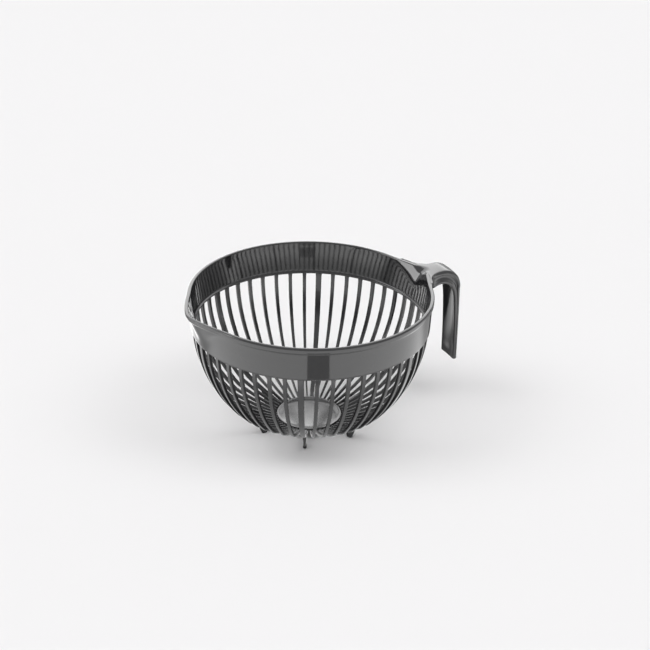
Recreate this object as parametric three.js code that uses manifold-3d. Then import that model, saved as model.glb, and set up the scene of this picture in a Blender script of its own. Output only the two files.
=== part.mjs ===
// Strainer bowl with a hook handle: an open basket of 48 curved ribs between a solid
// upper band and a small base disc, standing on six fin feet. A pouring beak is drawn out
// of the rim at -X, and a channel-section handle grows from the rim at +X and hangs down.
// Millimetres, +Z up. The origin is on the floor, below the middle of the whole length.
import * as THREE from 'three';
import { mergeVertices } from 'three/addons/utils/BufferGeometryUtils.js';
import Module from 'manifold-3d';

// ---- driving dimensions ----
const RIM_R = 120;            // outside radius of the rim lip
const BOWL_H = 147;           // floor to the top of the lip
const LIP_H = 6.2;            // height of the thickened lip
const LIP_IN_R = 116;         // inside radius at the mouth
const BAND_H = 28.1;          // height of the solid band below the lip
const WALL = 2.4;             // wall of the band and the handle
const RIB_IN_R = 112.7;       // inside radius where the ribs leave the band
const RIB_DEPTH = 3.2;        // radial depth of every rib
const DISC_R = 32.5;          // base disc
const DISC_T = 3;
const GAP = 0.3;              // clearance between neighbouring solids

const RIBS = 48;
const RIBS_PER_WIDE = 8;      // every eighth rib is a wide one with a foot below it
const THIN_RIB = { atDisc: 1.35, perMm: 0.029 };  // width at the disc, and its growth with radius
const WIDE_RIB = { atDisc: 3.0, perMm: 0.036 };

const FOOT = {
  inner: 46.2, outer: 52.6,   // at the floor, from the bowl axis
  rootInner: 41.5, rootOuter: 58.5,
  neckZ: 4.5, neckSpread: 0.6, neckThick: 2.6,
  toeZ: 1, toeSpread: 0.4, toeThick: 3.7,
  soleThick: 2.7,
};

// A beak is two flat sides that meet in a crease. tip: the crease's radius in the rim plane;
// back: how far it falls back per mm of depth; lean and bow: slope and roundness of the sides
// in plan; crease: roundness of the crease.
const SPOUT = { at: Math.PI, tip: 130, back: 0.48, lean: 0.335, bow: 0.0032, crease: 0.012 };
const ROOT_BEAK = { at: 0, tip: 128.2, back: 0.68, lean: 0.36, bow: 0.0015, crease: 0.02 };
const BEAK_SOFT = 0.4;        // mm of blending between a beak and the round wall
const BEAK_END = rad(45);     // no beak reaches further round than this
const BEAK_FADE = rad(12);
const CROWN = 1;              // the lip's crown above the rim plane
const WALL_DRAFT = 0.09;      // the wall's radius shrinks by this per mm of depth

const HANDLE = {
  reach: 162.8,               // bowl axis to the outside face of the grip
  halfWidth: 12.7,
  bend: 20.5,                 // outside radius of the top bend
  end: 43.2,                  // height of the cut end above the floor
  sunk: 0.3,                  // top face below the lip's crown
  archR: 13.8,                // radius of the arch under the bend
  archDown: 27,               // its centre below the lip's crown
  archTurn: rad(140),
  // depth of the side flanges where they spread to the rim, as [distance from the axis, depth]
  spread: [[128, 17], [125, 15.6], [122, 13], [119, 9.5], [117, 7.5]],
  flangeAtEnd: 4.2,           // depth of the side flanges at the cut end
  flangeAtBend: 7.3,          // and just below the bend
  filletR: 24,                // plan fillet between handle and rim
  filletX: 141,               // bowl axis to the fillet's centre
  rootX: 100,                 // the uncut form starts inside the bowl
};
const MARGIN = 5;             // how far cutting forms overshoot

const AXIS_X = (SPOUT.tip - HANDLE.reach) / 2;   // bowl axis in the part's frame
const BAND_TOP = BOWL_H - LIP_H - GAP;
const BAND_BOTTOM = BAND_TOP - BAND_H;
const GRIP_TOP = BOWL_H - 30; // where the bend of the handle ends and its straight grip begins
const LATHE_STEPS = 144;

// ---- materials: one glossy dark grey plastic throughout ----
const PLASTIC = { color: 0x3c3c3d, roughness: 0.22, metalness: 0 };
const plastic = (name) => new THREE.MeshStandardMaterial({ ...PLASTIC, name });

function rad(degrees) { return degrees * Math.PI / 180; }

function named(name, geometry) {
  const mesh = new THREE.Mesh(geometry, plastic(name));
  mesh.name = name;
  return mesh;
}

// ---- the round wall and its two beaks ----
function softRamp(u) { return u < 30 ? Math.log1p(Math.exp(u)) : u; }

// How far one beak pushes the wall outwards at an angle and a depth below the rim plane.
function beakPush(beak, angle, depth) {
  const away = Math.abs(Math.atan2(Math.sin(angle - beak.at), Math.cos(angle - beak.at)));
  if (away > BEAK_END) return 0;
  const side = Math.hypot(Math.sin(away), beak.crease) - beak.crease;
  const bow = beak.bow * side * side;
  const slope = Math.cos(away) + beak.lean * side;
  const tip = beak.tip - beak.back * depth;
  // where the ray at this angle meets the flat or slightly bowed side
  const flat = bow > 1e-9 ? (Math.sqrt(slope * slope + 4 * bow * tip) - slope) / (2 * bow) : tip / slope;
  const push = BEAK_SOFT * softRamp((flat - (RIM_R - WALL_DRAFT * depth)) / BEAK_SOFT);
  return push * THREE.MathUtils.smoothstep(BEAK_END - away, 0, BEAK_FADE);
}

function flare(angle, z) {
  const depth = Math.max(0, BOWL_H - CROWN - z);
  return beakPush(SPOUT, angle, depth) + beakPush(ROOT_BEAK, angle, depth);
}

// An (r, z) profile turned about the bowl axis, then flared at the beaks.
function flaredLathe(profile) {
  const points = profile.map(([r, z]) => new THREE.Vector2(r, z));
  const geometry = new THREE.LatheGeometry(points, LATHE_STEPS, Math.PI / 2);
  const position = geometry.attributes.position;
  for (let i = 0; i < position.count; i += 1) {
    // LatheGeometry turns about Y: x = r sin(phi), z = r cos(phi), y = height
    const x = position.getZ(i);
    const y = position.getX(i);
    const z = position.getY(i);
    const r = Math.hypot(x, y);
    const angle = Math.atan2(y, x);
    const pushed = r > DISC_R ? r + flare(angle, z) : r;
    position.setXYZ(i, pushed * Math.cos(angle) || 0, pushed * Math.sin(angle) || 0, z);
  }
  return geometry;
}

function flaredRing(profile) {
  return flaredLathe([...profile, profile[0]]);
}

function rimLip() {
  const top = BOWL_H;
  const low = BOWL_H - LIP_H;
  return flaredRing([
    [LIP_IN_R - 0.2, low], [RIM_R - 1.2, low], [RIM_R - 0.3, low + 0.7], [RIM_R, low + 1.8],
    [RIM_R, top - CROWN], [RIM_R - 0.6, top - 0.4], [RIM_R - 1.8, top],
    [LIP_IN_R + 0.5, top], [LIP_IN_R, top - 0.5],
  ]);
}

// The outside of the band, as (part of the way down, radius).
const BAND_OUTSIDE = [[1, 116.4], [0.97, 117], [0.62, 117.3], [0.33, 117.7], [0.15, 118.1], [0, 118.6]];

function upperBand() {
  const inside = [[0, 115.8], [0.33, 115.4], [0.62, 115], [0.91, 114.6]];
  const at = ([part, r]) => [r, BAND_TOP - part * BAND_H];
  const ledge = [[RIB_IN_R, BAND_BOTTOM + 2], [RIB_IN_R, BAND_BOTTOM]];
  return flaredRing([...inside.map(at), ...ledge, ...BAND_OUTSIDE.map(at)]);
}

function baseDisc() {
  const low = ribOutline.discZ;
  const points = [[0, low], [DISC_R - 1.2, low], [DISC_R, low + 1], [DISC_R, low + DISC_T - 1],
    [DISC_R - 1, low + DISC_T], [DISC_R - 6, low + DISC_T - 0.8], [0, low + DISC_T - 0.8]];
  const geometry = new THREE.LatheGeometry(points.map(([r, z]) => new THREE.Vector2(r, z)), 64);
  return geometry.rotateX(Math.PI / 2);
}

// ---- ribs: a side profile of three arcs, from the band down to the disc ----
// Each arc turns the profile's heading from one angle to the next, measured from straight down.
const ARCS = [
  { radius: 130.6, from: rad(4.1), to: rad(45.2), steps: 8 },
  { radius: 12.3, from: rad(45.2), to: rad(58.7), steps: 2 },
  { radius: 192, from: rad(58.7), to: rad(71.9), steps: 5 },
];

function outerProfile() {
  const points = [{ r: RIB_IN_R + RIB_DEPTH + 0.2, z: BAND_BOTTOM - GAP, heading: ARCS[0].from }];
  for (const arc of ARCS) {
    const start = points[points.length - 1];
    for (let i = 1; i <= arc.steps; i += 1) {
      const heading = THREE.MathUtils.lerp(arc.from, arc.to, i / arc.steps);
      points.push({
        r: start.r + arc.radius * (Math.cos(heading) - Math.cos(arc.from)),
        z: start.z - arc.radius * (Math.sin(heading) - Math.sin(arc.from)),
        heading,
      });
    }
  }
  return points;
}

const ribOutline = (() => {
  const outer = outerProfile();
  const inner = outer.map(({ r, z, heading }) => (
    { r: r - RIB_DEPTH * Math.cos(heading), z: z + RIB_DEPTH * Math.sin(heading) }));
  inner[0].z = outer[0].z;
  const last = outer[outer.length - 1];
  outer[outer.length - 1] = { ...last, r: DISC_R + GAP };
  inner[inner.length - 1].r = DISC_R + GAP;
  return { outer, inner, discZ: last.z + 0.2 };
})();

function shapeFrom(points) {
  return new THREE.Shape(points.map(({ r, z }) => new THREE.Vector2(r, z)));
}

// Extrude an (r, z) outline to a unit width, then set the width by radius and height.
function widthBy(outline, widthAt) {
  const geometry = new THREE.ExtrudeGeometry(shapeFrom(outline), { depth: 1, bevelEnabled: false });
  const position = geometry.attributes.position;
  for (let i = 0; i < position.count; i += 1) {
    const r = position.getX(i);
    const z = position.getY(i);
    position.setXYZ(i, r, (0.5 - position.getZ(i)) * widthAt(r, z), z);
  }
  return geometry;
}

function rib(size) {
  const outline = [...ribOutline.outer, ...[...ribOutline.inner].reverse()];
  return widthBy(outline, (r) => size.atDisc + size.perMm * (r - DISC_R));
}

// ---- feet: thin fins below the wide ribs, thickened again at the tip ----
function profileZ(r) {
  const points = ribOutline.outer;
  const i = points.findIndex((p) => p.r <= r);
  const a = points[i - 1];
  const b = points[i];
  return THREE.MathUtils.mapLinear(r, a.r, b.r, a.z, b.z);
}

function foot() {
  const { inner, outer, rootInner, rootOuter, neckZ, neckSpread, toeZ, toeSpread } = FOOT;
  const underRib = [rootOuter, (rootOuter + rootInner) / 2, rootInner]
    .map((r) => ({ r, z: profileZ(r) - GAP - 0.2 }));
  const outline = [...underRib,
    { r: inner - neckSpread, z: neckZ }, { r: inner - toeSpread, z: toeZ }, { r: inner, z: 0 },
    { r: outer, z: 0 }, { r: outer + toeSpread, z: toeZ }, { r: outer + neckSpread, z: neckZ }];
  const thickAt = new Map([[0, FOOT.soleThick], [neckZ, FOOT.neckThick]]);
  return widthBy(outline, (r, z) => thickAt.get(z) ?? FOOT.toeThick);
}

// ---- handle: the outside form, less the channel inside it, less the bowl ----
const wasm = await Module();
wasm.setup();

function toSolid(geometry) {
  const bare = geometry.clone();
  bare.deleteAttribute('normal');
  bare.deleteAttribute('uv');
  const merged = mergeVertices(bare, 1e-4);
  return new wasm.Manifold(new wasm.Mesh({
    numProp: 3,
    vertProperties: new Float32Array(merged.attributes.position.array),
    triVerts: new Uint32Array(merged.index.array),
  }));
}

function toGeometry(solid) {
  const mesh = solid.getMesh();
  const geometry = new THREE.BufferGeometry();
  geometry.setAttribute('position', new THREE.BufferAttribute(mesh.vertProperties, 3));
  geometry.setIndex(new THREE.BufferAttribute(mesh.triVerts, 1));
  return geometry;
}

function extrude(shape, depth) {
  return new THREE.ExtrudeGeometry(shape, { depth, bevelEnabled: false, curveSegments: 10 });
}

// The side view of the hook. The open one is the hollow inside it: inset from the outside face
// and running out above the cut end, so that the end is closed.
function sideView(inset, open) {
  const { reach, rootX } = HANDLE;
  const top = BOWL_H - HANDLE.sunk;
  const bendX = reach - HANDLE.bend;
  const bendZ = top - HANDLE.bend;
  const lowX = reach - HANDLE.flangeAtEnd;
  const shape = new THREE.Shape();
  shape.moveTo(rootX, top - inset);
  shape.lineTo(bendX, top - inset);
  shape.absarc(bendX, bendZ, HANDLE.bend - inset, Math.PI / 2, 0, true);
  if (open) {
    shape.lineTo(lowX, HANDLE.end + WALL);
    shape.lineTo(rootX, HANDLE.end + WALL);
    return shape;
  }
  const archX = reach - HANDLE.flangeAtBend - HANDLE.archR;
  const archZ = BOWL_H - HANDLE.archDown;
  shape.lineTo(reach, HANDLE.end);
  shape.lineTo(lowX, HANDLE.end);
  shape.lineTo(archX + HANDLE.archR, archZ);
  shape.absarc(archX, archZ, HANDLE.archR, 0, HANDLE.archTurn, false);
  HANDLE.spread.forEach(([x, depth]) => shape.lineTo(x, top - depth));
  shape.lineTo(rootX, top - HANDLE.spread.at(-1)[1]);
  return shape;
}

// The plan view: a straight strip that widens into the rim through a concave fillet.
function planView(inset) {
  const { reach, filletX, rootX } = HANDLE;
  const half = HANDLE.halfWidth - inset;
  const radius = HANDLE.filletR + inset;
  const y = HANDLE.halfWidth + HANDLE.filletR;
  const shape = new THREE.Shape();
  shape.moveTo(reach + MARGIN, -half);
  shape.lineTo(reach + MARGIN, half);
  shape.lineTo(filletX, half);
  shape.absarc(filletX, y, radius, -Math.PI / 2, -Math.PI, true);
  shape.lineTo(rootX, y);
  shape.lineTo(rootX, -y);
  shape.lineTo(filletX - radius, -y);
  shape.absarc(filletX, -y, radius, Math.PI, Math.PI / 2, true);
  return shape;
}

function hookForm(inset, open) {
  const width = 2 * (HANDLE.halfWidth + HANDLE.filletR);
  const side = extrude(sideView(inset, open), width).rotateX(Math.PI / 2).translate(0, width / 2, 0);
  const plan = extrude(planView(inset), BOWL_H + MARGIN);
  return toSolid(side).intersect(toSolid(plan));
}

// The lip and band as one plug with a clearance all round, for cutting the handle's root.
function bowlBody() {
  const top = BOWL_H + MARGIN;
  const low = BAND_BOTTOM - MARGIN;
  const band = BAND_OUTSIDE.map(([part, r]) => [r, BAND_TOP - part * BAND_H]);
  const lip = [BAND_TOP, BOWL_H - LIP_H, BOWL_H - LIP_H / 2, BOWL_H - CROWN, top]
    .map((z) => [RIM_R, z]);
  const outside = [[band[0][0], low], ...band.slice(1), ...lip];
  const clear = outside.map(([r, z]) => [r + GAP, z]);
  return toSolid(flaredLathe([[0, low], ...clear, [0, top]]));
}

function handleParts() {
  const whole = hookForm(0, false).subtract(hookForm(WALL, true)).subtract(bowlBody());
  const archEnd = HANDLE.reach - HANDLE.flangeAtBend - HANDLE.archR;
  const below = (height) => {
    const box = new THREE.BoxGeometry(2 * (HANDLE.reach - archEnd), 4 * HANDLE.halfWidth, height);
    return toSolid(box.translate(HANDLE.reach, 0, height / 2));
  };
  return {
    arch: toGeometry(whole.subtract(below(GRIP_TOP + GAP))),
    grip: toGeometry(whole.intersect(below(GRIP_TOP))),
  };
}

// ---- assembly ----
const bowl = new THREE.Group();
bowl.position.x = AXIS_X;
bowl.add(named('rim_lip', rimLip()));
bowl.add(named('upper_band', upperBand()));
bowl.add(named('base_disc', baseDisc()));

const thinRib = rib(THIN_RIB);
const wideRib = rib(WIDE_RIB);
const footFin = foot();
for (let i = 0; i < RIBS; i += 1) {
  const wide = i % RIBS_PER_WIDE === 0;
  const turn = i * 2 * Math.PI / RIBS;
  const number = String(i).padStart(2, '0');
  const mesh = named(wide ? `wide_rib_${number}` : `rib_${number}`, wide ? wideRib : thinRib);
  mesh.rotation.z = turn;
  bowl.add(mesh);
  if (wide) {
    const fin = named(`foot_${number}`, footFin);
    fin.rotation.z = turn;
    bowl.add(fin);
  }
}

const { arch, grip } = handleParts();
bowl.add(named('handle_arch', arch));
bowl.add(named('handle_grip', grip));

const strainer = new THREE.Group();
strainer.add(bowl);

export default strainer;
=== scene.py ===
"""Looks of a glossy dark strainer bowl with a pouring beak and a hook-shaped channel handle.

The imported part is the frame. Every visible piece here is a finer skin over its own CAD nodes:
rounded edges, a coved lip, flat-sided beaks, a beaded channel handle and a dished base.
Lengths in the constants are millimetres, converted once by mm(). Heights are above the floor.
"""

import math

import bpy
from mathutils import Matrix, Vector


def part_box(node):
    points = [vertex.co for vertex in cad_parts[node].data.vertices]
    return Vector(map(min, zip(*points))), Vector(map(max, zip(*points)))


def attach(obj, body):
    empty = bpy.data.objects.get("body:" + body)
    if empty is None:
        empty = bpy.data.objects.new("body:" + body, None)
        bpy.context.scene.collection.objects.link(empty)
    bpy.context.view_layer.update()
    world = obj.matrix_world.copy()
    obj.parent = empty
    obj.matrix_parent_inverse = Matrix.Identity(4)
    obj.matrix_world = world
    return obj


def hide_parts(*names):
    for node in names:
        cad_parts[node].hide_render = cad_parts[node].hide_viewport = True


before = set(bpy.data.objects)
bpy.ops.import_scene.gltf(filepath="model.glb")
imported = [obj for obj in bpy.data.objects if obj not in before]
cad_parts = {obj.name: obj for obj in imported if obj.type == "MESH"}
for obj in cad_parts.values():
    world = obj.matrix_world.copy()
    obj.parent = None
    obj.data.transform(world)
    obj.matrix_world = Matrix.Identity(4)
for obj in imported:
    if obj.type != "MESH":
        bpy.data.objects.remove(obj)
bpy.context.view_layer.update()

MM = 0.001


def box_mm(node):
    low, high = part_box(node)
    return [v / MM for v in low], [v / MM for v in high]


# ---- what the frame says ----
DISC_LOW, DISC_HIGH = box_mm("base_disc")
AXIS_X = (DISC_LOW[0] + DISC_HIGH[0]) / 2
DISC_R = (DISC_HIGH[0] - DISC_LOW[0]) / 2
LIP_LOW, LIP_HIGH = box_mm("rim_lip")
CROWN = 1.0                                # the lip's crown above the rim plane
RIM_Z = LIP_HIGH[2] - CROWN
RIM_R = (LIP_HIGH[1] - LIP_LOW[1]) / 2
BAND_Z = box_mm("upper_band")[0][2]        # lower edge of the solid band
GRIP_LOW, GRIP_HIGH = box_mm("handle_grip")
GRIP_FACE = GRIP_HIGH[0] - AXIS_X          # bowl axis to the handle's outside face
GRIP_END = GRIP_LOW[2]
GRIP_HALF = (GRIP_HIGH[1] - GRIP_LOW[1]) / 2

RIBS = 48
RIBS_PER_WIDE = 8
THIN_NODES = [f"rib_{i:02d}" for i in range(RIBS) if i % RIBS_PER_WIDE]
WIDE_NODES = [f"wide_rib_{i:02d}" for i in range(0, RIBS, RIBS_PER_WIDE)]
FOOT_NODES = [f"foot_{i:02d}" for i in range(0, RIBS, RIBS_PER_WIDE)]


def mm(x, y, z):
    """A point given from the bowl's axis, in millimetres, as metres in the row frame."""
    return Vector(((x + AXIS_X) * MM, y * MM, z * MM))


def smooth_step(t):
    t = max(0.0, min(1.0, t))
    return t * t * (3 - 2 * t)


def lerp(a, b, t):
    return a + (b - a) * t


def table(points, x):
    """Smooth curve through (x, value) points with rising x."""
    if x <= points[0][0]:
        return points[0][1]
    for i in range(1, len(points)):
        x0, v0 = points[i - 1]
        x1, v1 = points[i]
        if x <= x1:
            before = points[max(i - 2, 0)]
            after = points[min(i + 1, len(points) - 1)]
            m0 = (v1 - before[1]) / (x1 - before[0])
            m1 = (after[1] - v0) / (after[0] - x0)
            t, h = (x - x0) / (x1 - x0), x1 - x0
            return ((2 * t**3 - 3 * t**2 + 1) * v0 + (t**3 - 2 * t**2 + t) * h * m0
                    + (3 * t**2 - 2 * t**3) * v1 + (t**3 - t**2) * h * m1)
    return points[-1][1]


# ---- mesh building ----
class Skin:
    """Vertices and faces of one piece, made of closed tubes."""

    def __init__(self):
        self.verts, self.faces = [], []

    def tube(self, rings, wrap=False, cap_pairs=False):
        """Joins rings of equal length. A wrapped tube closes on itself; otherwise each end is
        capped, by one fan of quads across the ring, or pair by pair for a C-shaped ring."""
        n, base = len(rings[0]), len(self.verts)
        for ring in rings:
            self.verts.extend(ring)
        count = len(rings)
        for k in range(count if wrap else count - 1):
            a, b = base + k * n, base + (k + 1) % count * n
            for i in range(n):
                j = (i + 1) % n
                self.faces.append((a + i, a + j, b + j, b + i))
        if not wrap:
            for k, flip in ((0, True), (count - 1, False)):
                self.cap(base + k * n, n, flip, cap_pairs)

    def cap(self, start, n, flip, pairs):
        if pairs:
            quads = [(i, i + 1, n - 2 - i, n - 1 - i) for i in range(n // 2 - 1)]
        else:
            quads = [tuple(range(n))]
        for quad in quads:
            face = tuple(start + i for i in quad)
            self.faces.append(tuple(reversed(face)) if flip else face)

    def piece(self, name, nodes, material):
        mesh = bpy.data.meshes.new(name)
        mesh.from_pydata([tuple(v) for v in self.verts], [], self.faces)
        mesh.validate()
        mesh.update()
        piece = bpy.data.objects.new(name, mesh)
        bpy.context.scene.collection.objects.link(piece)
        mesh.materials.append(material)
        bpy.context.view_layer.objects.active = piece
        piece.select_set(True)
        bpy.ops.object.mode_set(mode="EDIT")
        bpy.ops.mesh.select_all(action="SELECT")
        bpy.ops.mesh.normals_make_consistent(inside=False)
        bpy.ops.object.mode_set(mode="OBJECT")
        piece.select_set(False)
        for polygon in mesh.polygons:
            polygon.use_smooth = True
        weighted = piece.modifiers.new("even_normals", "WEIGHTED_NORMAL")
        weighted.weight = 60
        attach(piece, "root")
        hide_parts(*nodes)
        return piece


def rounded_rectangle(width, depth, radius, steps=4):
    """Points round a width x depth rectangle, centred, with rounded corners."""
    points = []
    for k, (sx, sy) in enumerate(((1, 1), (-1, 1), (-1, -1), (1, -1))):
        for i in range(steps + 1):
            a = (k + i / steps) * math.pi / 2
            points.append((sx * (width / 2 - radius) + radius * math.cos(a),
                           sy * (depth / 2 - radius) + radius * math.sin(a)))
    return points


# ---- the wall and its two flat-sided beaks ----
# tip: radius of the crease in the rim plane; back: how far the crease falls back per mm of depth;
# lean and bow: slope and roundness of the two sides in plan; crease: roundness of the crease.
SPOUT = {"at": math.pi, "tip": 130.0, "back": 0.48, "lean": 0.335, "bow": 0.0032, "crease": 0.045}
ROOT = {"at": 0.0, "tip": 128.2, "back": 0.68, "lean": 0.36, "bow": 0.0015, "crease": 0.02}
BEAK_SOFT = 0.4                            # mm of blending between a beak and the round wall
BEAK_END = math.radians(45)                # no beak reaches further round than this
BEAK_FADE = math.radians(12)
WALL_DRAFT = 0.09                          # the wall's radius shrinks by this per mm of depth

# The rolled edge at the handle's root, by degrees away from the handle: a large radius in the
# middle, with a small one reaching further round
ROLL_BIG = {"radius": 6.5, "from": 1, "over": 5.5}
ROLL_SMALL = {"radius": 1.2, "from": 8, "over": 8}
ROLL_DEPTH = 9                             # mm below the crown where the roll has died out
SHELF = {"from": 14, "over": 6, "under": 0.06}  # where the crown runs flat into the wings
CROWN_R = 117.9                            # the part of the section outside this is the crown
EDGE_WIDTH = 1.6                           # mm of the crown that slides along the beak's side


def beak_push(beak, angle, z):
    away = abs(math.atan2(math.sin(angle - beak["at"]), math.cos(angle - beak["at"])))
    if away > BEAK_END:
        return 0.0
    depth = max(0.0, RIM_Z - z)
    side = math.sqrt(math.sin(away) ** 2 + beak["crease"] ** 2) - beak["crease"]
    a, b = beak["bow"] * side * side, math.cos(away) + beak["lean"] * side
    tip = beak["tip"] - beak["back"] * depth
    flat = (math.sqrt(b * b + 4 * a * tip) - b) / (2 * a) if a > 1e-9 else tip / b
    u = (flat - (RIM_R - WALL_DRAFT * depth)) / BEAK_SOFT
    push = BEAK_SOFT * (math.log1p(math.exp(u)) if u < 30 else u)
    return push * smooth_step((BEAK_END - away) / BEAK_FADE)


def fade_out(away, start, over):
    return 1 - smooth_step((away - start) / over)


def roll(x, y):
    """How far the top edge is rolled down where the handle's top runs into the beak behind it."""
    angle = math.atan2(y, x)
    away = math.degrees(abs(angle))
    radius = sum(r["radius"] * fade_out(away, r["from"], r["over"]) for r in (ROLL_BIG, ROLL_SMALL))
    if radius < 0.05:
        return 0.0
    past = math.hypot(x, y) - (SECTION[0][0] + beak_push(ROOT, angle, RIM_Z))
    return max(0.0, radius - max(0.0, past)) ** 2 / (2 * radius)


# The wall's closed section as (radius, height above the rim plane): round the crown, down the
# outside over the lip's cove, round the lower edge, and up the inside over the ledge.
SECTION = [
    (116.0, -0.7), (116.05, 0.0), (116.3, 0.55), (116.75, 0.88), (117.3, 1.0),
    (118.0, 0.97), (118.7, 0.8), (119.3, 0.42), (119.75, -0.15), (119.97, -0.85), (120.0, -1.7),
    (120.0, -2.9), (119.95, -3.7), (119.75, -4.35), (119.35, -4.8), (118.95, -5.15), (118.65, -5.6),
    (118.5, -6.3), (118.4, -7.5), (118.25, -9.5), (118.1, -13.0), (117.9, -17.0), (117.7, -21.0),
    (117.5, -25.0), (117.3, -29.0), (117.15, -31.6), (117.0, -32.7), (116.6, -33.35),
    (115.9, -33.6), (114.7, -33.6), (113.5, -33.6), (112.98, -33.4), (112.72, -32.95),
    (112.7, -32.3), (112.85, -31.85), (113.3, -31.6), (113.9, -31.45), (114.35, -31.15),
    (114.6, -30.6), (114.67, -29.6), (114.75, -27.0), (114.9, -23.0), (115.05, -19.0),
    (115.22, -15.0), (115.4, -11.0), (115.6, -7.0), (115.8, -4.0), (115.93, -2.2),
]
AROUND = 480


def bowl_shell(material):
    rings = []
    for k in range(AROUND):
        angle = 2 * math.pi * k / AROUND
        ring = []
        away = math.degrees(abs(math.remainder(angle, 2 * math.pi)))
        shelf = fade_out(away, SHELF["from"], SHELF["over"])
        for r, up in SECTION:
            if r > CROWN_R and up > -1:    # the crown runs out flat into the handle's wings
                up = lerp(up, HANDLE_TOP - RIM_Z - SHELF["under"], shelf)
            z = RIM_Z + up
            out = r + beak_push(SPOUT, angle, z) + beak_push(ROOT, angle, z)
            fade = smooth_step((up + ROLL_DEPTH) / ROLL_DEPTH)
            sink = roll(out * math.cos(angle), out * math.sin(angle)) * fade
            if sink > 0:                   # the rolled-down edge stays on the beak's flat side
                slide = beak_push(ROOT, angle, z - sink) - beak_push(ROOT, angle, z)
                out += slide * (1 - smooth_step((r - SECTION[0][0]) / EDGE_WIDTH))
            ring.append(mm(out * math.cos(angle), out * math.sin(angle), z - sink))
        rings.append(ring)
    skin = Skin()
    skin.tube(rings, wrap=True)
    return skin.piece("bowl_shell", ["rim_lip", "upper_band"], material)


# ---- ribs ----
RIB_DEPTH = 3.2
RIB_TOP_R = 116.1
# The outside line of a rib: radius of each arc, and its heading at both ends from straight down.
ARCS = [(130.6, 4.1, 45.2, 30), (12.3, 45.2, 58.7, 6), (192.0, 58.7, 71.9, 18)]


def rib_line():
    """(radius, height, heading) down the outside of a rib, run on a little at both ends."""
    r, z = RIB_TOP_R, BAND_Z - 0.3
    line = [(r + 0.1, z + 1.6, math.radians(ARCS[0][1])), (r, z, math.radians(ARCS[0][1]))]
    for radius, start, stop, steps in ARCS:
        a0 = math.radians(start)
        for i in range(1, steps + 1):
            a = math.radians(lerp(start, stop, i / steps))
            line.append((r + radius * (math.cos(a) - math.cos(a0)),
                         z - radius * (math.sin(a) - math.sin(a0)), a))
        r, z, _ = line[-1]
    a = line[-1][2]
    line.append((r - 2.2, z - 2.2 / math.tan(a), a))
    return line


RIB_LINE = rib_line()


def rib_rings(turn, at_disc, per_mm):
    rings = []
    c, s = math.cos(turn), math.sin(turn)
    for r, z, heading in RIB_LINE:
        root = math.exp(-(((BAND_Z - z) / 1.3) ** 2)) if z < BAND_Z else 1.0
        foot = math.exp(-max(0.0, r - DISC_R) / 1.2)
        width = at_disc + per_mm * (r - DISC_R) + 0.6 * root + 0.15 * foot
        for_ring = []
        for across, out in rounded_rectangle(width, RIB_DEPTH, min(0.6, width * 0.32)):
            inward = RIB_DEPTH / 2 - out
            rr = r - inward * math.cos(heading)
            zz = z + inward * math.sin(heading)
            for_ring.append(mm(rr * c - across * s, rr * s + across * c, zz))
        rings.append(for_ring)
    return rings


def ribs(name, nodes, at_disc, per_mm, material):
    skin = Skin()
    for node in nodes:
        turn = int(node[-2:]) * 2 * math.pi / RIBS
        skin.tube(rib_rings(turn, at_disc, per_mm))
    return skin.piece(name, nodes, material)


# ---- base disc: a shallow dish with a rounded edge and a gate mark underneath ----
DISC_SLOPE = math.radians(11)              # of the dish at its edge
DISC_TOP = 3.0                             # top edge above the disc's lowest edge
DISC_THICK = 2.6
LEDGE = {"at": 29.5, "width": 1.6, "step": 0.25}   # the top is sunk a little inside this radius
GATE = {"at": 3.0, "width": 0.7, "step": 0.5}      # the gate mark under the middle


def base_disc(material):
    edge_low = DISC_LOW[2]
    slope_radius = DISC_R / math.sin(DISC_SLOPE)

    def sag(r):
        return math.sqrt(slope_radius**2 - r * r) - math.sqrt(slope_radius**2 - DISC_R**2)

    def sunk(mark, r):
        return mark["step"] * smooth_step((mark["at"] - r) / mark["width"])

    top = [0.0, 3, 6, 10, 14, 18, 22, 25, 27.5, 29.2, 30.6, 31.6]
    section = [(r, edge_low + DISC_TOP - sag(r) - sunk(LEDGE, r)) for r in top]
    section += [(32.1, edge_low + 2.85), (32.45, edge_low + 2.45), (32.5, edge_low + 1.7),
                (32.5, edge_low + 1.0), (32.3, edge_low + 0.45), (31.8, edge_low + 0.1)]
    under = [30.5, 28, 24, 20, 15, 10, 5, 3.2, 2.6, 2.2, 1.2, 0.0]
    section += [(r, edge_low + DISC_TOP - DISC_THICK - sag(r) - sunk(GATE, r)) for r in under]
    steps = 96
    skin = Skin()
    first = mm(0, 0, section[0][1])
    last = mm(0, 0, section[-1][1])
    skin.verts = [first, last]
    middle = section[1:-1]
    for k in range(steps):
        a = 2 * math.pi * k / steps
        skin.verts += [mm(r * math.cos(a), r * math.sin(a), z) for r, z in middle]
    m = len(middle)
    for k in range(steps):
        a, b = 2 + k * m, 2 + (k + 1) % steps * m
        skin.faces.append((0, a, b))
        skin.faces.append((1, b + m - 1, a + m - 1))
        for i in range(m - 1):
            skin.faces.append((a + i, a + i + 1, b + i + 1, b + i))
    return skin.piece("base_dish", ["base_disc"], material)


# ---- feet: thin fins under the wide ribs, ending in a rounded bead ----
# (height, inner radius, outer radius, thickness)
FOOT_LEVELS = [
    (0.0, 47.4, 51.4, 2.0), (0.25, 47.0, 51.8, 2.9), (0.9, 46.6, 52.2, 3.6), (2.0, 46.3, 52.5, 3.9),
    (3.2, 46.0, 53.0, 3.6), (4.2, 45.7, 53.5, 2.8), (5.0, 45.4, 53.9, 2.4),
]
FOOT_ROOT = (41.5, 58.5, 4.3)


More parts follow.
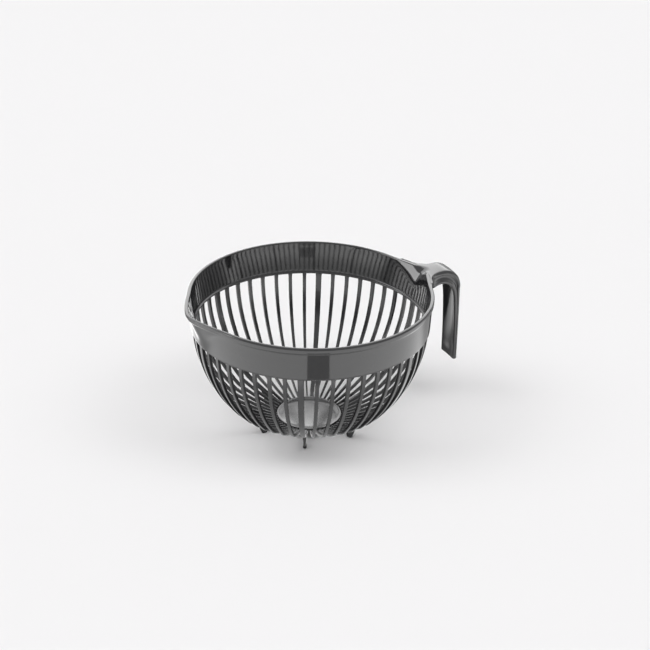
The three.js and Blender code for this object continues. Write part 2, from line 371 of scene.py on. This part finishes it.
def rib_under(r):
    """Height of a rib's outside line at a radius."""
    for (r0, z0, _), (r1, z1, _) in zip(RIB_LINE, RIB_LINE[1:]):
        if r1 <= r <= r0:
            return lerp(z0, z1, (r0 - r) / (r0 - r1))
    return RIB_LINE[-1][1]


def foot_ring(turn, inner, outer, thick, height_at):
    c, s = math.cos(turn), math.sin(turn)
    middle, length = (inner + outer) / 2, outer - inner
    ring = []
    for along, across in rounded_rectangle(length, thick, min(1.0, thick * 0.45)):
        r = middle + along
        ring.append(mm(r * c - across * s, r * s + across * c, height_at(r)))
    return ring


def feet(material):
    skin = Skin()
    for node in FOOT_NODES:
        turn = int(node[-2:]) * 2 * math.pi / RIBS
        rings = [foot_ring(turn, a, b, t, lambda r, z=z: z) for z, a, b, t in FOOT_LEVELS]
        low_z, low_in, low_out, low_t = FOOT_LEVELS[-1]
        for i in range(1, 7):
            u = i / 6
            rings.append(foot_ring(
                turn, lerp(low_in, FOOT_ROOT[0], u), lerp(low_out, FOOT_ROOT[1], u**1.2),
                lerp(low_t, FOOT_ROOT[2], u**1.5),
                lambda r, u=u: lerp(low_z, rib_under(r) + 0.8, u)))
        skin.tube(rings)
    return skin.piece("fin_feet", FOOT_NODES, material)


# ---- handle: a channel lofted from the rim, over the bend and down to its cut end ----
HANDLE_TOP = RIM_Z + 0.93
STRAIGHT_X = 138.0                         # bowl axis to where the handle's sides run parallel
ROOT_X = {"edge": 117.4, "middle": 125.6}  # where the first ring starts, at its edges and middle
BURIED = 3.0                               # how far the first ring's wings reach into the lip
BEND = 20.5                                # outside radius of the bend
FILLET = 24.0                              # plan radius between the handle and the rim
FILLET_X = 141.0
WALL = 2.4
BEAD_R = (1.6, 2.4)                        # rounded edge of shallow and of deep side flanges
# Depth of the side flanges: beside the rim by distance from the axis, round the bend by degrees
# turned, and down the grip by millimetres below the bend
FLANGE_ROOT = [(117, 7.5), (119, 9.3), (122, 12.2), (125, 14.2), (128, 15.4), (131.5, 15.6),
               (135.5, 15.1), (140.3, 14.8), (143, 14.8)]
FLANGE_BEND = [(0, 14.8), (25, 14.9), (45, 14.6), (68, 13.2), (90, 11.5)]
FLANGE_GRIP = [(0, 11.5), (4, 9.3), (10.5, 7.6), (26, 6.3), (49, 5.4), (84, 4.9)]
# Depth of the channel's hollow down the grip: it runs out before the cut end
HOLLOW = [(0, 7.0), (4, 4.6), (10.5, 2.8), (26, 1.7), (49, 0.9), (70, 0.0), (78, -1.0), (84, -1.3)]


def channel_ring(half, depth, place, hollow=None, inset=0.0, scoop=0.0):
    """One C-shaped ring. place(y, down) puts a point of the section in space. scoop turns the
    hollow from a flat-bottomed channel (0) into a shallow curved one (1)."""
    corner, crown = min(3.4, depth * 0.42), 0.25
    if hollow is None:                     # beside the rim the corner is as small as the lip's
        corner = lerp(1.3, corner, smooth_step((depth - 7.5) / 6))
        crown *= smooth_step((depth - 8) / 5)
    groove = lerp(0.3, 1.8, smooth_step((depth - 4.5) / 7))
    bead = lerp(*BEAD_R, smooth_step((depth - 6) / 6))
    if hollow is None:
        hollow = depth - bead - WALL
    side = []
    for i in range(8):                     # across the top, slightly crowned
        t = i / 7
        side.append(((half - corner) * t, crown * t * t))
    for i in range(1, 7):                  # round the corner
        a = i / 6 * math.pi / 2
        side.append((half - corner + corner * math.sin(a), crown + corner - corner * math.cos(a)))
    start, stop = corner + crown, max(depth - 2 * bead, corner + 0.4)
    for i in range(1, 7):                  # down the grooved side
        t = i / 6
        side.append((half - groove * smooth_step(2.8 * t) * (1 - 0.6 * smooth_step(3 * t - 2)),
                     lerp(start, stop, t)))
    for i in range(9):                     # round the bead, ending at its lowest line
        a = math.radians(50 - 140 * i / 8)
        side.append((half - bead + bead * math.cos(a), depth - bead - bead * math.sin(a)))
    inside = []
    for i in range(len(side)):             # the hollow, from one bead to the middle
        a = (i + 0.5) / len(side) * math.pi / 2
        inside.append(((half - bead) * math.cos(a) ** lerp(0.5, 1.0, scoop),
                       depth - (bead + hollow) * math.sin(a) ** lerp(0.7, 2.0, scoop)))
    outer = [(-y, d) for y, d in reversed(side[1:])] + side
    inner = inside + [(-y, d) for y, d in reversed(inside[:-1])]
    middle = depth / 2
    loop = []
    for y, d in outer + inner:
        y -= inset * max(-1.0, min(1.0, y / 3))
        d -= inset * max(-1.0, min(1.0, (d - middle) / (depth / 2)))
        loop.append(place(y, d))
    return loop


def handle_rings():
    rings = []
    bend_x = GRIP_FACE - BEND
    for i in range(-1, 26):                # from inside the lip out to the straight strip
        t = (max(i, 0) / 25) ** 1.25
        edge_x = lerp(ROOT_X["edge"], STRAIGHT_X, t)
        mid_x = lerp(ROOT_X["middle"], STRAIGHT_X, t)
        half = GRIP_HALF + FILLET - math.sqrt(FILLET**2 - (FILLET_X - edge_x) ** 2)
        if i < 0:                          # the first ring's wings are buried in the lip
            edge_x -= BURIED
        half = max(half, GRIP_HALF)
        depth = table(FLANGE_ROOT, edge_x)

        def place(y, down, edge_x=edge_x, mid_x=mid_x, half=half):
            v = min(1.0, abs(y) / half)
            x = edge_x + (mid_x - edge_x) * (1 - v * v)
            fade = smooth_step((ROLL_DEPTH - down) / ROLL_DEPTH)
            return mm(x, y, HANDLE_TOP - down - roll(x, y) * fade)
        rings.append(channel_ring(half, depth, place))
    for i in range(1, 5):
        x = lerp(STRAIGHT_X, bend_x, i / 4)
        half = GRIP_HALF + FILLET - math.sqrt(FILLET**2 - max(0.0, FILLET_X - x) ** 2)
        depth = table(FLANGE_ROOT, x)
        rings.append(channel_ring(half, depth, lambda y, down, x=x: mm(x, y, HANDLE_TOP - down)))
    for i in range(1, 19):                 # round the bend
        turn = i / 18 * math.pi / 2
        depth = table(FLANGE_BEND, math.degrees(turn))
        centre_z = HANDLE_TOP - BEND

        def place(y, down, turn=turn):
            reach = BEND - down
            return mm(bend_x + reach * math.sin(turn), y, centre_z + reach * math.cos(turn))
        rings.append(channel_ring(GRIP_HALF, depth, place, scoop=smooth_step(i / 18)))
    top_z = HANDLE_TOP - BEND
    length = top_z - GRIP_END
    falls = [length * (i / 26) for i in range(1, 26)]
    ends = [(length - 1.2, 0.0), (length - 0.7, 0.1), (length - 0.3, 0.35), (length, 0.9)]
    for fall, inset in [(f, 0.0) for f in falls if f < length - 1.6] + ends:
        rings.append(channel_ring(
            GRIP_HALF, table(FLANGE_GRIP, fall),
            lambda y, down, fall=fall: mm(GRIP_FACE - down, y, top_z - fall),
            table(HOLLOW, fall), inset, scoop=1.0))
    return rings


def hook_handle(material):
    skin = Skin()
    skin.tube(handle_rings(), cap_pairs=True)
    return skin.piece("hook_handle", ["handle_arch", "handle_grip"], material)


# ---- material: one glossy dark grey moulding plastic ----
def plastic(name, dark, light, smooth, rough, grain_scale, bump):
    material = bpy.data.materials.new(name)
    material.use_nodes = True
    nodes, links = material.node_tree.nodes, material.node_tree.links
    shader = nodes["Principled BSDF"]
    shader.inputs["IOR"].default_value = 1.52
    where = nodes.new("ShaderNodeTexCoord")

    def noise(scale, detail, roughness=0.5):
        node = nodes.new("ShaderNodeTexNoise")
        node.inputs["Scale"].default_value = scale
        node.inputs["Detail"].default_value = detail
        node.inputs["Roughness"].default_value = roughness
        links.new(where.outputs["Object"], node.inputs["Vector"])
        return node

    cloud = noise(38, 3)
    ramp = nodes.new("ShaderNodeValToRGB")
    ramp.color_ramp.elements[0].position, ramp.color_ramp.elements[1].position = 0.3, 0.7
    ramp.color_ramp.elements[0].color = (*dark, 1)
    ramp.color_ramp.elements[1].color = (*light, 1)
    links.new(cloud.outputs["Fac"], ramp.inputs["Fac"])
    links.new(ramp.outputs["Color"], shader.inputs["Base Color"])

    smear = noise(90, 5, 0.6)
    spread = nodes.new("ShaderNodeMapRange")
    spread.inputs["From Min"].default_value = 0.3
    spread.inputs["From Max"].default_value = 0.72
    spread.inputs["To Min"].default_value = smooth
    spread.inputs["To Max"].default_value = rough
    links.new(smear.outputs["Fac"], spread.inputs["Value"])
    links.new(spread.outputs["Result"], shader.inputs["Roughness"])

    grain = noise(grain_scale, 2)
    relief = nodes.new("ShaderNodeBump")
    relief.inputs["Strength"].default_value = bump
    relief.inputs["Distance"].default_value = 0.0004
    links.new(grain.outputs["Fac"], relief.inputs["Height"])
    links.new(relief.outputs["Normal"], shader.inputs["Normal"])
    return material


def pale_floor():
    material = bpy.data.materials.new("studio_floor")
    material.use_nodes = True
    nodes, links = material.node_tree.nodes, material.node_tree.links
    shader = nodes["Principled BSDF"]
    shader.inputs["Specular IOR Level"].default_value = 0.0
    shader.inputs["Roughness"].default_value = 1.0
    where = nodes.new("ShaderNodeTexCoord")
    cloud = nodes.new("ShaderNodeTexNoise")
    cloud.inputs["Scale"].default_value = 3
    links.new(where.outputs["Object"], cloud.inputs["Vector"])
    ramp = nodes.new("ShaderNodeValToRGB")
    ramp.color_ramp.elements[0].color = (0.800, 0.795, 0.800, 1)
    ramp.color_ramp.elements[1].color = (0.806, 0.801, 0.806, 1)
    links.new(cloud.outputs["Fac"], ramp.inputs["Fac"])
    links.new(ramp.outputs["Color"], shader.inputs["Base Color"])
    return material


# ---- pieces ----
body_plastic = plastic("gloss_plastic_body", (0.016, 0.016, 0.017), (0.020, 0.020, 0.021),
                       smooth=0.05, rough=0.09, grain_scale=240, bump=0.03)
rib_plastic = plastic("gloss_plastic_ribs", (0.018, 0.018, 0.019), (0.023, 0.023, 0.024),
                      smooth=0.10, rough=0.17, grain_scale=420, bump=0.06)
base_plastic = plastic("satin_plastic_base", (0.018, 0.018, 0.019), (0.024, 0.024, 0.025),
                       smooth=0.12, rough=0.2, grain_scale=90, bump=0.1)
grip_plastic = plastic("gloss_plastic_grip", (0.018, 0.018, 0.019), (0.023, 0.023, 0.024),
                       smooth=0.09, rough=0.15, grain_scale=300, bump=0.05)

bowl_shell(body_plastic)
ribs("thin_ribs", THIN_NODES, 1.35, 0.029, rib_plastic)
ribs("wide_ribs", WIDE_NODES, 3.0, 0.036, rib_plastic)
base_disc(base_plastic)
feet(rib_plastic)
hook_handle(grip_plastic)

# ---- camera ----
# Fitted to the rim, the band's edges and the ribs, with the lens axis at the picture's centre.
# DISTANCE, SIDE and RISE are millimetres from the middle of the rim plane.
AZIMUTH, ELEVATION, ROLL = math.radians(-26.644), math.radians(27.242), math.radians(-1.221)
DISTANCE, SIDE, RISE = 1611.8, 14.30, -31.40
FOCAL, SENSOR = 91.99, 36.0

right = Vector((math.cos(AZIMUTH), math.sin(AZIMUTH), 0))
ahead = Vector((-math.sin(AZIMUTH), math.cos(AZIMUTH), 0))
up_axis = Vector((0, 0, 1))
forward = ahead * math.cos(ELEVATION) - up_axis * math.sin(ELEVATION)
up = ahead * math.sin(ELEVATION) + up_axis * math.cos(ELEVATION)
camera_data = bpy.data.cameras.new("camera")
camera_data.lens, camera_data.sensor_width = FOCAL, SENSOR
camera_data.clip_start, camera_data.clip_end = 0.05, 50
camera = bpy.data.objects.new("camera", camera_data)
bpy.context.scene.collection.objects.link(camera)
camera.location = mm(0, 0, RIM_Z) + (right * SIDE + up * RISE - forward * DISTANCE) * MM
rolled_right = right * math.cos(ROLL) - up * math.sin(ROLL)
rolled_up = right * math.sin(ROLL) + up * math.cos(ROLL)
turn = (rolled_right, rolled_up, -forward)
camera.rotation_mode = "QUATERNION"
rotation = camera.matrix_world.to_3x3()
for row in range(3):
    for column in range(3):
        rotation[row][column] = turn[column][row]
camera.rotation_quaternion = rotation.to_quaternion()
bpy.context.scene.camera = camera

# ---- floor and light ----
FLOOR_HALF = 12.0
floor_mesh = bpy.data.meshes.new("floor")
floor_corners = [(x * FLOOR_HALF, y * FLOOR_HALF, 0) for x, y in ((-1, -1), (1, -1), (1, 1), (-1, 1))]
floor_mesh.from_pydata(floor_corners, [], [(0, 1, 2, 3)])
floor = bpy.data.objects.new("floor", floor_mesh)
floor_mesh.materials.append(pale_floor())
bpy.context.scene.collection.objects.link(floor)

bpy.context.scene.view_settings.view_transform = "Standard"
world = bpy.data.worlds.new("studio")
bpy.context.scene.world = world
world.use_nodes = True
AMBIENT = 0.30
world.node_tree.nodes["Background"].inputs["Color"].default_value = (1.0, 0.995, 1.0, 1)
world.node_tree.nodes["Background"].inputs["Strength"].default_value = AMBIENT


def along_view(side, ahead_by, height):
    """A point given from the bowl's foot by metres to the camera's right, away from it, and up."""
    return mm(0, 0, 0) + right * side + ahead * ahead_by + up_axis * height


def aim(lamp, toward):
    lamp.rotation_mode = "QUATERNION"
    lamp.rotation_quaternion = toward.to_track_quat("Z", "Y")


TOWARD_CAMERA = math.radians(11)


def sky_strip(total, lean_from, lean_to, count, spread):
    """A long soft light overhead, running left to right: suns side by side, unseen in gloss."""
    for i in range(count):
        lean = math.radians(lerp(lean_from, lean_to, i / (count - 1)))
        data = bpy.data.lights.new(f"sky_{i}", "SUN")
        data.energy = total / count / (math.cos(lean) * math.cos(TOWARD_CAMERA))
        data.angle = math.radians(spread)
        lamp = bpy.data.objects.new(f"sky_{i}", data)
        bpy.context.scene.collection.objects.link(lamp)
        lamp.visible_glossy = False
        overhead = up_axis * math.cos(TOWARD_CAMERA) - ahead * math.sin(TOWARD_CAMERA)
        aim(lamp, right * math.sin(lean) + overhead * math.cos(lean))


PALE = 0.922                               # brightness of the lit floor and of the backdrop
FLOOR_ALBEDO = 0.80
sky_strip((PALE - FLOOR_ALBEDO * AMBIENT) / FLOOR_ALBEDO * math.pi,
          lean_from=-44, lean_to=38, count=7, spread=32)


def panel(name, centre, look_at, width, height, radiance):
    """A soft box that shows in gloss and leaves matt surfaces alone."""
    data = bpy.data.lights.new(name, "AREA")
    data.shape, data.size, data.size_y = "RECTANGLE", width, height
    data.energy = radiance * math.pi * width * height
    lamp = bpy.data.objects.new(name, data)
    bpy.context.scene.collection.objects.link(lamp)
    lamp.location = centre
    aim(lamp, centre - look_at)
    lamp.visible_camera = False
    lamp.visible_diffuse = False
    return lamp


bowl_heart = along_view(0, 0, 0.1)
panel("back", along_view(0, 2.2, 1.75), bowl_heart, 3.6, 2.7, 2.9)
panel("left", along_view(-2.2, -0.05, 1.1), bowl_heart, 1.5, 1.1, 6.0)


def stage_piece(name, verts, faces, material):
    mesh = bpy.data.meshes.new(name)
    mesh.from_pydata([tuple(v) for v in verts], [], faces)
    mesh.materials.append(material)
    piece = bpy.data.objects.new(name, mesh)
    bpy.context.scene.collection.objects.link(piece)
    return piece


def glow(name, colour, strength):
    material = bpy.data.materials.new(name)
    material.use_nodes = True
    nodes, links = material.node_tree.nodes, material.node_tree.links
    nodes.remove(nodes["Principled BSDF"])
    lamp = nodes.new("ShaderNodeEmission")
    lamp.inputs["Color"].default_value = (*colour, 1)
    lamp.inputs["Strength"].default_value = strength
    links.new(lamp.outputs["Emission"], nodes["Material Output"].inputs["Surface"])
    return material


def only_in(piece, camera=False, glossy=False):
    piece.visible_camera, piece.visible_glossy = camera, glossy
    piece.visible_diffuse = piece.visible_transmission = piece.visible_shadow = False


# A low soft box lying all round the bowl, seen only in its gloss: bright in front and beside it,
# dim behind to the right and under the bowl, with one gap in front. GLOW is its brightness by
# degrees from the camera's side to the right, and UNDER_BOWL scales it by metres from the foot.
# Both are listed.
BOX_RADII = [0.01, 0.06, 0.10, 0.135, 0.165, 0.20, 0.23, 0.26, 0.335, 0.5, 0.8, 1.4, 3.4]
GAP_RADII = (0.23, 0.335)
GAP_AZIMUTHS = (-1.3, 15.6)                # degrees, from the camera's side to the right
BOX_AZIMUTHS = sorted({*range(-180, 181, 3), *GAP_AZIMUTHS})
GLOW = [(-180, 2.3), (-150, 2.3), (-135, 2.1), (-115, 1.8), (-104, 1.0), (-96, 1.0),
        (-86, 2.3), (-74, 2.7), (-60, 2.8), (-30, 2.7), (0, 2.6), (30, 2.7), (60, 2.75),
        (75, 2.55), (90, 2.4), (106, 2.2), (118, 0.9), (135, 0.5), (150, 0.4), (163, 0.5),
        (172, 1.8), (180, 2.3)]
UNDER_BOWL = [(0.0, 0.28), (0.06, 0.28), (0.10, 0.34), (0.135, 0.45), (0.165, 0.5),
              (0.20, 0.55), (0.26, 1.0)]
BOX_LIFT = 0.004


def low_box():
    verts, faces, levels = [], [], []
    for azimuth in BOX_AZIMUTHS:
        a = math.radians(azimuth)
        for r in BOX_RADII:
            verts.append(along_view(r * math.sin(a), -r * math.cos(a), BOX_LIFT))
            behind = smooth_step((abs(azimuth) - 80) / 30) * smooth_step((r - 0.06) / 0.03)
            levels.append(table(GLOW, azimuth) * lerp(table(UNDER_BOWL, r), 1, behind))
    n = len(BOX_RADII)
    for k in range(len(BOX_AZIMUTHS) - 1):
        for i in range(n - 1):
            in_gap = (GAP_AZIMUTHS[0] <= BOX_AZIMUTHS[k] < GAP_AZIMUTHS[1]
                      and GAP_RADII[0] <= BOX_RADII[i] < GAP_RADII[1])
            if not in_gap:
                faces.append((k * n + i, k * n + i + 1, (k + 1) * n + i + 1, (k + 1) * n + i))
    material = glow("low_box", (1, 1, 1), 1.0)
    shade = material.node_tree.nodes.new("ShaderNodeVertexColor")
    shade.layer_name = "glow"
    material.node_tree.links.new(shade.outputs["Color"],
                                 material.node_tree.nodes["Emission"].inputs["Strength"])
    box = stage_piece("low_box", verts, faces, material)
    layer = box.data.color_attributes.new("glow", "FLOAT_COLOR", "POINT")
    for i, level in enumerate(levels):
        layer.data[i].color = (level, level, level, 1)
    only_in(box, glossy=True)


low_box()

# A plain pale backdrop all round, seen by the camera and in gloss
DOME_RADIUS, DOME_DROP, DOME_REACH = 11.0, 1.0, 0.98   # metres, metres below the floor, of 90 degrees
DOME_STEPS, DOME_LEVELS = 48, 8


def dome():
    verts, faces = [], []
    for k in range(DOME_LEVELS + 1):
        tilt = k / DOME_LEVELS * math.pi / 2 * DOME_REACH
        for i in range(DOME_STEPS):
            a = 2 * math.pi * i / DOME_STEPS
            verts.append((DOME_RADIUS * math.cos(tilt) * math.cos(a),
                          DOME_RADIUS * math.cos(tilt) * math.sin(a),
                          DOME_RADIUS * math.sin(tilt) - DOME_DROP))
    for k in range(DOME_LEVELS):
        for i in range(DOME_STEPS):
            j = (i + 1) % DOME_STEPS
            low, high = k * DOME_STEPS, (k + 1) * DOME_STEPS
            faces.append((low + i, low + j, high + j, high + i))
    only_in(stage_piece("backdrop", verts, faces, glow("backdrop", (PALE, 0.914, PALE), 1.0)),
            camera=True, glossy=True)


dome()
